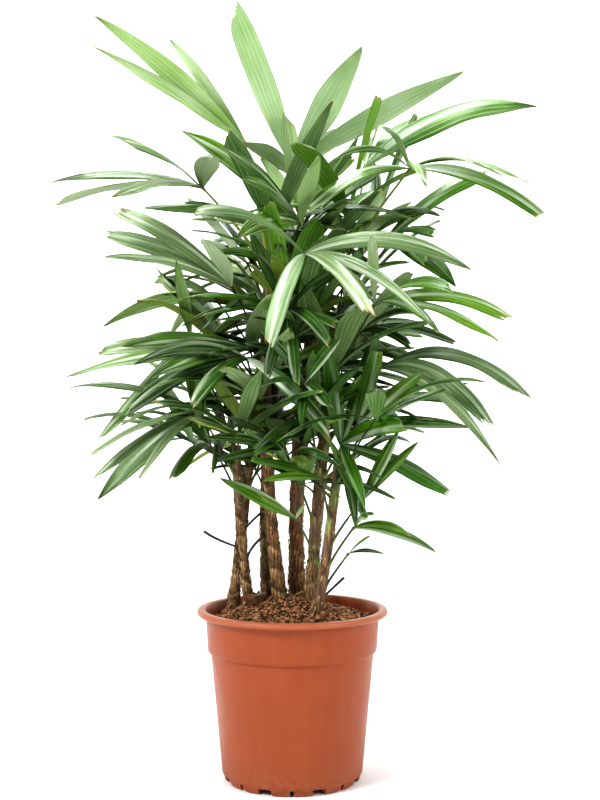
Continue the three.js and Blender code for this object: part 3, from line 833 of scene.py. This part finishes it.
def blade_outline(leaf, length, width, t, u, rng):
    """How far along the blade each point of its grid lies, and each row's half width and swell. A narrow
    base swells to the full width by t = 0.5 and narrows again to the tip: early and far in a pointed blade,
    late and little in one that is cut off. The blade ends later at the ribs than between them, and sooner
    towards one side, which gives slanting teeth."""
    slender = width < SLENDER or length > LONG
    pointed = rng.random() < (0.85 if slender else 0.5) and not leaf.get("cut")
    blunt = rng.uniform(0.03, 0.12) if pointed else rng.uniform(0.42, 0.68)
    narrows = 0.42 if pointed else 0.68
    depth = rng.uniform(2.5, 7) * MM / length * (0.4 if pointed else 1 + 1.2 * (width > BROAD))
    notch = (np.arange(u.size) % 2 == 0) * rng.uniform(0.3, 1, u.size) * depth
    slant = rng.uniform(-0.5, 0.5) * width / length * (0.2 if pointed else 1)
    ends = 1 - notch[None] - np.abs(slant) + slant * u
    run = t * (1 + (ends - 1) * np.clip((t - 0.8) / 0.2, 0, 1))
    swell = 1 - 0.86 * np.clip(1 - t / 0.5, 0, 1) ** 2
    narrow = 1 - (1 - blunt) * np.clip((t - narrows) / (1 - narrows), 0, 1) ** rng.uniform(1.7, 2.5)
    return run, width / 2 * swell * narrow, swell


def blade_frame(hub, leaf, run):
    """At each point's place t along the blade: the middle line h(1-t)^2 + 2mt(1-t) + pt^2, the way across
    the blade and the way up from it."""
    past = run[..., None]
    rest = 1 - past
    spine = hub * rest**2 + 2 * leaf["bend"] * past * rest + leaf["tip"] * past**2
    along = unit((leaf["bend"] - hub) * rest + (leaf["tip"] - leaf["bend"]) * past)
    ups = np.stack([np.interp(run, RINGS[::-1], leaf["ups"][:, k]) for k in range(3)], -1)
    side = unit(np.cross(along, ups))
    return spine, side, np.cross(side, along)


def blade_relief(width, half, swell, t, u, rng):
    """The height over the middle line: a camber -c u^2, a fold along the middle, a slow wave along the
    edges, and pleats that are up at each rib and down between."""
    camber = rng.uniform(-0.02, 0.14) * 2 * half
    fold = rng.uniform(0, 0.22) * 2 * half
    pleat = min(0.55 * MM, 0.045 * width) * np.where(np.arange(u.size) % 2, 1, -1)[None] * swell
    wave = 0.035 * width * u**2 * np.sin(rng.uniform(6, 14) * t + rng.uniform(0, 6) + u)
    return pleat + wave - camber * u**2 - fold * (np.abs(u) - 0.5) * t


def blade_faces(columns):
    """Triangles over a blade's rings, each of which runs over its top and back below, with a strip across
    each end. Gives each triangle's three point numbers and its corners' [column, row] places."""
    faces, places = lattice(BLADE_ROWS, 2 * columns, True)
    turn = np.arange(columns - 1)
    strip = np.stack([turn, turn + 1, 2 * columns - 2 - turn, 2 * columns - 1 - turn], -1)
    last = strip + (BLADE_ROWS - 1) * 2 * columns
    quads = np.concatenate([strip[:, ::-1], last])
    caps = np.concatenate([quads[:, [0, 1, 2]], quads[:, [0, 2, 3]]])
    cap_places = np.stack([caps % (2 * columns), caps // (2 * columns)], -1)
    return np.concatenate([faces, caps]), np.concatenate([places, cap_places])


def blade(hub, leaf, rng, lane, lanes):
    """One leaflet as a thin closed skin on a grid: t runs along it from 0 at the hub to 1 at the tip, and u
    across it from -1 to 1, with a column for each rib and each fold between. 'lane' of 'lanes' is its strip
    of the bake's map."""
    length = np.linalg.norm(leaf["tip"] - hub)
    width = leaf["width"] * BLADE_SPREAD
    ribs = int(np.clip(round(width / RIB_SPACING), 1, 6))
    columns = 2 * ribs + 1
    u = np.linspace(-1, 1, columns)[None]
    t = np.linspace(0, 1, BLADE_ROWS)[:, None]
    run, half, swell = blade_outline(leaf, length, width, t, u, rng)
    spine, side, up = blade_frame(hub, leaf, run)
    height = blade_relief(width, half, swell, t, u, rng)
    top = spine + side * (half * u)[..., None] + up * height[..., None]
    rings = np.concatenate([top, (top - up * BLADE_THICKNESS)[:, ::-1]], 1)
    faces, places = blade_faces(columns)
    share = places[..., 1] / (BLADE_ROWS - 1)
    rib_count = np.concatenate([np.arange(columns), np.arange(columns)[::-1], [0]]) / 2
    column = (lane + 0.04 + 0.92 * places[..., 0] / (2 * columns)) / lanes
    return outwards(
        {
            "points": rings.reshape(-1, 3),
            "faces": faces,
            "maps": {
                "OFBake": np.stack([column, 0.01 + 0.98 * share], -1),
                "Blade": np.stack([rib_count[places[..., 0]], share * length / (10 * MM)], -1),
            },
            "marks": {
                "underside": np.tile(np.repeat([0.0, 1.0], columns), BLADE_ROWS),
                "along": np.repeat(t[:, 0], 2 * columns),
                "tint": np.full(BLADE_ROWS * 2 * columns, rng.random()),
            },
        }
    )


def leaf_finish(name, deep, bright, pale):
    """A palm leaflet: green above and paler, greyer green below. The ribs are fine pale lines, partly their
    own colour and partly painted glints, with finer veins between them, the folds between the ribs are darker
    with painted shade, a painted sheen lies over the upper side in long pale streaks, and the last stretch
    yellows and browns towards the teeth."""
    material, surface, place = new_material(name, IOR=1.47, Specular_IOR_Level=0.4)
    blade_place = place.node("UVMap", {"uv_map": "Blade"}, {})
    across = place.node("SeparateXYZ", {}, {0: blade_place}, output=0)
    off_rib = place.math("ABSOLUTE", place.math("FRACT", across) - 0.5)
    rib = 1 - off_rib.step(0.03, 0.11)
    # The valleys between the ribs are darkened, above and below: painted shade in the pleats.
    fold = off_rib.step(0.36, 0.48)
    thread = place.math("ABSOLUTE", place.math("FRACT", across * 3 + 0.5) - 0.5).step(0.3, 0.48)
    under, along, tint = (place.mark(key) for key in ("underside", "along", "tint"))
    veins = blade_place.noise(0.3, 2, 0.5, (1, 0.04, 1))
    cloud = place.noise(0.06, 2, 0.5)
    shade = (tint * 0.5 + cloud * 0.8 + veins * 1.1 - 0.75).limited()
    # Long pale streaks of painted sheen over the upper side.
    painted_sheen = blade_place.noise(2.0, 2, 0.5, (1, 0.1, 1)).step(0.46, 0.62) * (0.36 + 0.55 * tint)
    # Painted shade: the folds take the deep tone.
    upper = (fold * veins).between(shade.between(deep, bright), deep)
    # The ribs' pale lines: partly their own colour, partly painted glints.
    upper = (rib * veins * 0.5).between(upper, RIB_AND_GLINT)
    upper = (thread * 0.3).between((painted_sheen * 0.8).between(upper, PAINTED_SHEEN), deep)
    lower = (rib * 0.35).between((fold * 0.3).between(shade.between(bright, pale), bright), PAINTED_SHEEN)
    lower = (thread * 0.3 + veins.step(0.5, 0.62) * 0.5).limited().between(lower, bright)
    lower = (veins.step(0.62, 0.75) * 0.5).between(lower, deep)
    base = under.between(upper, lower)
    ragged = along + 0.05 * cloud + 0.06 * tint
    base = (ragged.step(0.99, 1.08) * 0.4).between(base, DRY)
    base = (ragged.step(1.05, 1.1) * 0.85).between(base, BROWN)
    relief = (rib * 0.7 + veins * 0.3).bump(0.0005, 0.5)
    surface(Base_Color=base, Roughness=0.29 + 0.2 * under + 0.1 * cloud, Normal=relief)
    return material


def bezier_through(start, half, end, count):
    """Points on the curve of the second degree that passes the half-way point at t = 1/2."""
    t = np.linspace(0, 1, count)[:, None]
    bend = 2 * half - (start + end) / 2
    return start * (1 - t) ** 2 + 2 * bend * t * (1 - t) + end * t**2


def gaps_to(name, points):
    """How far each point is from a cane's skin. Over the cane's top each height counts three times."""
    middle, radius = cane_at(canes[name], points[:, 2])
    over = np.maximum(points[:, 2] - canes[name]["top"], 0)
    return np.linalg.norm(points[:, :2] - middle[:, :2], axis=1) - radius + 3 * over


def stalk_line(frond):
    """The stalk's middle line from the hub back into its cane. It passes the mean of the stalk's middle ring,
    which is the stalk's points about half way, and ends at the mean of the points at the cane."""
    gap = gaps_to(frond["cane"], frond["loose"])
    foot = frond["loose"][gap < max(gap.min() + 3 * MM, 2.2 * MM)].mean(0)
    chord = foot - frond["hub"]
    share = (frond["loose"] - frond["hub"]) @ chord / (chord @ chord)
    waist = frond["loose"][(share > 0.3) & (share < 0.7)]
    half = waist.mean(0) if len(waist) > 2 else (frond["hub"] + foot) / 2
    return bezier_through(frond["hub"], half, foot, 16)


def parted(frond):
    """A frond's leaflets, parted into those that fall steeply away from the hub, which are cut off square,
    and the rest."""
    steep, level = [], []
    for leaf in frond["blades"]:
        reach = leaf["tip"] - frond["hub"]
        falls = -reach[2] > math.tan(HANGING) * np.hypot(*reach[:2])
        leaf["cut"] = falls
        (steep if falls else level).append(leaf)
    return steep, level


def fan(hub, leaves, seed):
    """All leaflets of a frond as one part."""
    rng = np.random.default_rng(seed)
    return joined([blade(hub, leaf, rng, k, len(leaves)) for k, leaf in enumerate(leaves)])


greens = {name: leaf_finish(name, *tones) for name, tones in GREENS.items()}
kind_of = {number: kind for kind, numbers in KINDS.items() for number in numbers}
fronds = [read_frond(name) for name in sorted(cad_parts) if name.startswith("frond_")]
stalks = {name: [] for name in CANES}
for number, frond in enumerate(fronds, 1):
    frond["cane"] = min(CANES, key=lambda name: gaps_to(name, frond["loose"]).min())
    stalks[frond["cane"]].append(stalk_line(frond))
    green = greens[kind_of.get(number, "leaf_mid")]
    if frond["node"] == SHEENED_FROND:
        steep, frond["blades"] = parted(frond)
        hanging = fan(frond["hub"], steep, HANGING_SEED + number)
        # The hanging leaflets take the pale copy, with painted sheen.
        add_piece(SHEENED_FROND + "_hanging_leaflets", hanging, greens["leaf_pale_sheen"], sharp=60)
    leaves = fan(frond["hub"], frond["blades"], FROND_SEED + number)
    add_piece(frond["node"] + "_leaflets", leaves, green, (frond["node"],), sharp=60)


# ---- inner fronds ----
# The clump's inside is thick with fans on short stalks, which the solids leave out. They grow on from the
# canes by a seeded rule, at set steps of height and each turned on from the last by the golden angle. The
# higher the fan, the larger and steeper it is.

# How many each cane has.
INNER = {
    "cane_tall": 12,
    "cane_stout": 9,
    "cane_rear": 6,
    "cane_slim": 6,
    "cane_right": 2,
    "cane_left": 3,
    "cane_outer": 2,
}
INNER_SPAN = (0.37, 1.0)  # of the cane's height over the soil
LOWEST_FOOT = 352 * MM
YOUNG_SPAN = 230 * MM  # from the lowest foot up to where a frond is as large as any
OPEN_ABOVE = 520 * MM
GOLDEN = math.radians(137.5)
INNER_SPREAD = math.radians(105)
INNER_REACH = (28 * MM, 80 * MM)
INNER_WIDTH = (15 * MM, 23 * MM)
INNER_SEED = 500
# Most inner fans take the darkest kind, whose colours paint the shade inside the clump.
INNER_KINDS = ("leaf_shaded", "leaf_mid", "leaf_shaded", "leaf_gold", "leaf_shaded", "leaf_shaded", "leaf_lit")


def inner_leaflet(hub, heading, share, young, rng):
    """A leaflet at a share from -1 to 1 of the fan's spread to each side of its heading. The middle ones are
    the longest and point up, and the outer ones point out. The tip droops by a tenth to a third of the
    length, over a bend that lies half-way and a little above the straight line."""
    flat = around(np.array(heading + INNER_SPREAD * share + rng.normal(0, 0.12)))
    rise = 0.7 + 0.2 * young - 0.6 * share**2 + rng.normal(0, 0.18)
    length = (168 + 40 * young - 45 * share**2) * MM * rng.uniform(0.75, 1.05)
    droop = rng.uniform(0.1, 0.33) * length
    reach = length * (flat * math.cos(rise) + [0, 0, math.sin(rise)])
    up = unit(np.array([0, 0, 1]) + flat * rng.normal(0, 0.2) + rng.normal(0, 0.12, 3))
    return {
        "tip": hub + reach - [0, 0, droop],
        "bend": hub + reach / 2 + [0, 0, 0.35 * droop],
        "width": rng.uniform(*INNER_WIDTH) * (1 + 0.3 * young),
        "ups": np.tile(up, (3, 1)),
    }


def inner_frond(name, height, heading, rng):
    """A small frond of this cane: its stalk's line and its fan. Its size and steepness grow with its height
    over the lowest foot. The clump is open at its upper left, so a high fan that would head that way heads
    right instead."""
    middle, radius = cane_at(canes[name], np.array([height]))
    way = around(np.array(heading))
    if height > OPEN_ABOVE and way[0] < -0.3:
        heading = math.pi - heading
        way = around(np.array(heading))
    foot = middle[0] + way * radius[0] * 0.4
    young = min(1, max(0, (height - LOWEST_FOOT) / YOUNG_SPAN))
    out = rng.uniform(*INNER_REACH) * (1 + 0.45 * young)
    hub = foot + out * (way * (1 - 0.35 * young) + [0, 0, rng.uniform(0.6, 1.3)])
    shares = np.linspace(-1, 1, int(rng.integers(4, 7)))
    leaves = [inner_leaflet(hub, heading, share, young, rng) for share in shares]
    half = (foot + hub) / 2 + [0, 0, 0.06 * np.linalg.norm(hub - foot)]
    return bezier_through(hub, half, foot, 16), fan(hub, leaves, int(rng.integers(1000000)))


for number, name in enumerate(CANES):
    rng = np.random.default_rng(INNER_SEED + number)
    cane = canes[name]
    for step in range(INNER[name]):
        share = INNER_SPAN[0] + (INNER_SPAN[1] - INNER_SPAN[0]) * (step + 0.5) / INNER[name]
        height = max(SOIL_EDGE + share * (cane["top"] - SOIL_EDGE), LOWEST_FOOT)
        line, leaves = inner_frond(name, min(height, cane["top"] - 4 * MM), GOLDEN * step + number, rng)
        stalks[name].append(line)
        green = greens[INNER_KINDS[(step + number) % len(INNER_KINDS)]]
        add_piece(f"{name}_inner_{step + 1}_leaflets", leaves, green, sharp=60)


# ---- stalks ----
# Each fan stands on a wiry dark green stalk, as thick as a knitting needle, with a small brown knuckle where
# the leaflets meet. Its base is a sheath that clasps the cane, green above and fibrous brown below. A few
# old stalks are dead and curl out dry. All are round limbs along the stalks' middle lines, and thin shells.

STALK_SIDES = 8
STALKS = ((0.35, (0.008, 0.013, 0.003)), (0.5, (0.022, 0.036, 0.006)), (0.7, (0.07, 0.1, 0.015)))
KNUCKLE = (0.12, 0.07, 0.025, 1)
LIME = (0.24, 0.29, 0.04, 1)
YOUNG_HUB = 700 * MM
FRESH = {"cane_left": 0.35, "cane_outer": 0.3, "cane_tall": 0.7}
CUP_PLACE = (-50 * MM, 12 * MM)
SHEATH_ROWS = 14
SHEATH_ACROSS = 11
SHEATH_THICKNESS = 0.8 * MM
SHEATH_WRAP = math.radians(75)
STALK_WRAP = 0.28
SHEATH_SEED = 700
SHEATH = ((0.3, (0.04, 0.016, 0.007)), (0.5, (0.13, 0.065, 0.028)), (0.7, (0.3, 0.19, 0.09)))
SHEATH_GREEN = ((0.3, (0.06, 0.09, 0.01)), (0.5, (0.15, 0.18, 0.025)), (0.7, (0.34, 0.36, 0.1)))
# Each dead stalk's cane, height and heading there, how far it reaches out and up, and its bow.
DEAD_STALKS = (
    ("cane_left", 286 * MM, 190, 46 * MM, 22 * MM, 0.6),
    ("cane_left", 252 * MM, 330, 24 * MM, 50 * MM, 0.05),
    ("cane_left", 308 * MM, 345, 24 * MM, 24 * MM, 0.45),
    ("cane_right", 229 * MM, 10, 28 * MM, 25 * MM, 0.5),
)
DEAD = ((0.35, (0.008, 0.005, 0.003)), (0.55, (0.018, 0.011, 0.006)), (0.75, (0.06, 0.035, 0.018)))


def stalk_finish():
    """A smooth stalk: dark green, yellower near the cane and all along the young ones, and browner at the
    knuckle."""
    material, surface, place = new_material("stalk", IOR=1.45)
    tone = place.noise(0.03, 3, 0.5)
    end = place.mark("hubwards")
    lime = ((1 - end.step(0.0, 0.3)) * 0.5 + place.mark("young") * (0.9 - 0.5 * end)).limited()
    base = lime.between(ramp(tone, STALKS), LIME)
    base = (end.step(0.93, 1.0) * 0.8).between(base, KNUCKLE)
    surface(Base_Color=base, Roughness=0.4 + 0.2 * tone, Normal=place.noise(0.002, 2, 0.5).bump(0.0002, 0.5))
    return material


def stalks_of(lines):
    """Round limbs from hub to foot: 1.3 mm in radius, swelling to a knuckle at the hub and to 2 mm where
    they leave the cane. The young ones, whose hubs stand highest, are up to 1.2 mm thicker."""
    centres = np.stack(lines)
    share = np.linspace(0, 1, centres.shape[1])
    young = (centres[:, :1, 2] > YOUNG_HUB).astype(float)
    thick = (1.3 + 0.9 * np.exp(-((share / 0.03) ** 2)) + 0.8 * share**4 + 1.2 * young * share) * MM
    part = skins(limbs(centres, thick, STALK_SIDES))
    part["marks"]["hubwards"] = np.tile(np.append(np.repeat(1 - share, STALK_SIDES), [1, 0]), len(lines))
    part["marks"]["young"] = np.repeat(young[:, 0], len(part["points"]) // len(lines))
    return part


def sheath_finish():
    """A leaf sheath: lime green and smooth above, dry brown and fibrous below."""
    material, surface, place = new_material("leaf_sheath", Roughness=0.6)
    fine = place.noise(0.003, 4, 0.65, (1, 1, 0.1))
    green = (place.mark("green") + 0.5 * fine - 0.25).step(0.35, 0.65)
    base = green.between(ramp(fine, SHEATH), ramp(fine, SHEATH_GREEN))
    surface(Base_Color=base, Normal=fine.bump(0.0008, 0.7))
    return material


def sheaths_of(name, lines, seed):
    """Under each stalk a shell that hugs the cane. It starts 35 to 65 mm lower, half-way round the cane, and
    narrows to the stalk where that leaves the skin. Each ring is an outer arc and, the shell's thickness
    inside it, the same arc back."""
    rng = np.random.default_rng(seed)
    cane = canes[name]
    share = np.linspace(0, 1, SHEATH_ROWS)[:, None]
    fan_out = np.linspace(-1, 1, SHEATH_ACROSS)[None]
    rings, green = [], []
    for line in lines:
        middle, radius = cane_at(cane, line[:, 2])
        away = np.linalg.norm((line - middle)[:, :2], axis=1)
        leaves_at = len(line) - 1 - int(np.argmax((away > radius)[::-1]))
        exit_way = (line - middle)[leaves_at]
        height = line[leaves_at, 2] + 5 * MM - rng.uniform(35, 65) * MM * (1 - share)
        axis, around_cane = cane_at(cane, height[:, 0])
        half = SHEATH_WRAP * (1 - share) ** 0.75 + STALK_WRAP
        turn = math.atan2(exit_way[1], exit_way[0]) + half * fan_out
        out = around_cane[:, None] + 1.0 * MM
        out = out + (away[leaves_at] + 2.2 * MM - out) * share**5
        out = out - 0.5 * MM * fan_out**2 * share + 0.25 * MM * np.sin(9 * turn + 60 * height)
        outer = axis[:, None] + around(turn) * out[..., None]
        inner = axis[:, None] + around(turn) * (out - SHEATH_THICKNESS)[..., None]
        rings.append(np.concatenate([outer, inner[:, ::-1]], 1))
        age = (height[-1, 0] - SOIL_EDGE) / (cane["top"] - SOIL_EDGE)
        green.append(np.repeat(share[:, 0] * (1.25 * age - 0.1) * FRESH.get(name, 1), 2 * SHEATH_ACROSS))
        green.append([0, 1])
    part = skins(np.stack(rings))
    part["marks"]["green"] = np.concatenate(green)
    return part


def torn_sheath():
    """A dry cup of old sheath that stands on the soil between the canes: an open ring of wall, 2 mm thick
    at its foot and thinner at its ragged top edge."""
    share = np.linspace(0, 1, 9)[:, None]
    turn = np.linspace(-2.3, 2.1, 25)[None]
    ragged = 3.5 * MM * ripples(around(turn) * 0.02, 0.01, 33) * share
    out = (7 + 11 * share**0.7) * MM + 0.9 * MM * np.sin(5 * turn + 6 * share)
    x, y = CUP_PLACE
    foot = np.array([x, y, ground(np.array(x), np.array(y)) - 2 * MM])
    outer = foot + around(turn) * out[..., None]
    outer[..., 2] += 19 * MM * share + ragged
    inner = outer - around(turn) * (2 - 1.2 * share)[..., None] * MM
    part = skins(np.concatenate([outer, inner[:, ::-1]], 1)[None])
    part["marks"]["green"] = np.zeros(len(part["points"]))
    return part


def dead_finish():
    """A dead stalk: near black, with paler dry stretches."""
    material, surface, place = new_material("dead_stalk", Roughness=0.7)
    thread = place.noise(0.001, 2, 0.5).bump(0.0002, 0.6)
    surface(Base_Color=ramp(place.noise(0.01, 3, 0.6), DEAD), Normal=thread)
    return material


def dead_stalks():
    """Each leaves its cane at a height and a heading in degrees, and reaches out and up so far in an arc
    that has gone a given share of the way out when it is half-way up."""
    lines = []
    for name, height, heading, out, up, bow in DEAD_STALKS:
        middle, radius = cane_at(canes[name], np.array([height]))
        way = around(np.radians(np.array(heading)))
        foot = middle[0] + way * radius[0] * 0.6
        end = foot + way * out + [0, 0, up]
        lines.append(bezier_through(foot, foot + way * out * bow + [0, 0, up / 2], end, 14))
    thick = np.tile(1.35 * MM * (1 + 0.3 * np.linspace(0, 1, 14)), (len(lines), 1))
    return skins(limbs(np.stack(lines), thick, 7))


wiry = stalk_finish()
clasping = sheath_finish()
for number, name in enumerate(CANES):
    add_piece(name + "_stalks", stalks_of(stalks[name]), wiry)
    shells = sheaths_of(name, stalks[name], SHEATH_SEED + number)
    add_piece(name + "_sheaths", shells, clasping, sharp=60)
add_piece("torn_sheath", torn_sheath(), clasping, sharp=60)
add_piece("dead_stalks", dead_stalks(), dead_finish())


# ---- floor and light ----
# A plain white floor and a lit white wall behind it, under soft light: a dim sky all round, a wide soft lamp
# to each side of the front and one above. The leaves keep their gloss, and the crown's inside stays dark.

FLOOR_SIZE = 16.0
WALL_PLACE = 3.4
WALL_WIDTH = 16.0
WALL_HEIGHT = 6.0
WALL_GLOW = 0.9
SKY_GLOW = 0.4
WHITE = (0.9, 0.9, 0.9, 1)
WHITE_WARM = (0.88, 0.88, 0.875, 1)


def sheet(name, corners, **constants):
    """A plain pale four-cornered sheet of the stage."""
    material, surface, place = new_material("pale_" + name, Roughness=0.8, **constants)
    surface(Base_Color=place.noise(0.5, 2).between(WHITE, WHITE_WARM))
    mesh = bpy.data.meshes.new(name)
    mesh.from_pydata(corners, [], [(0, 1, 2, 3)])
    mesh.materials.append(material)
    piece = bpy.data.objects.new(name, mesh)
    scene.collection.objects.link(piece)


def lamp(name, place, aim, size, power):
    """A square soft lamp that faces a point."""
    data = bpy.data.lights.new(name, "AREA")
    data.shape = "SQUARE"
    data.size = size
    data.energy = power
    light = bpy.data.objects.new(name, data)
    light.location = place
    way = np.array(aim) - np.array(place)
    flat = math.hypot(way[0], way[1])
    pitch, heading = math.atan2(way[2], flat), math.atan2(way[1], way[0])
    light.rotation_euler = (math.pi / 2 + pitch, 0, heading - math.pi / 2)
    scene.collection.objects.link(light)


def sky(strength):
    """An even white surround."""
    world = bpy.data.worlds.new("surround")
    world.use_nodes = True
    background = world.node_tree.nodes["Background"]
    background.inputs["Color"].default_value = (1, 1, 1, 1)
    background.inputs["Strength"].default_value = strength
    scene.world = world


near, far, half = -FLOOR_SIZE / 2, WALL_PLACE, FLOOR_SIZE / 2
sheet("floor", [(-half, near, 0), (half, near, 0), (half, far, 0), (-half, far, 0)])
side = WALL_WIDTH / 2
wall = [(-side, far, 0), (side, far, 0), (side, far, WALL_HEIGHT), (-side, far, WALL_HEIGHT)]
sheet("wall", wall, Emission_Color=(1, 1, 1, 1), Emission_Strength=WALL_GLOW)
sky(SKY_GLOW)
lamp("left_softbox", (-1.5, -1.3, 1.7), (0, 0, 0.55), 0.7, 52)
lamp("right_softbox", (1.7, -1.1, 1.2), (0, 0, 0.45), 0.8, 26)
lamp("top_softbox", (-0.1, 0.2, 2.3), (0, 0, 0.6), 0.9, 60)
scene.view_settings.view_transform = "Standard"
scene.view_settings.look = "Medium High Contrast"
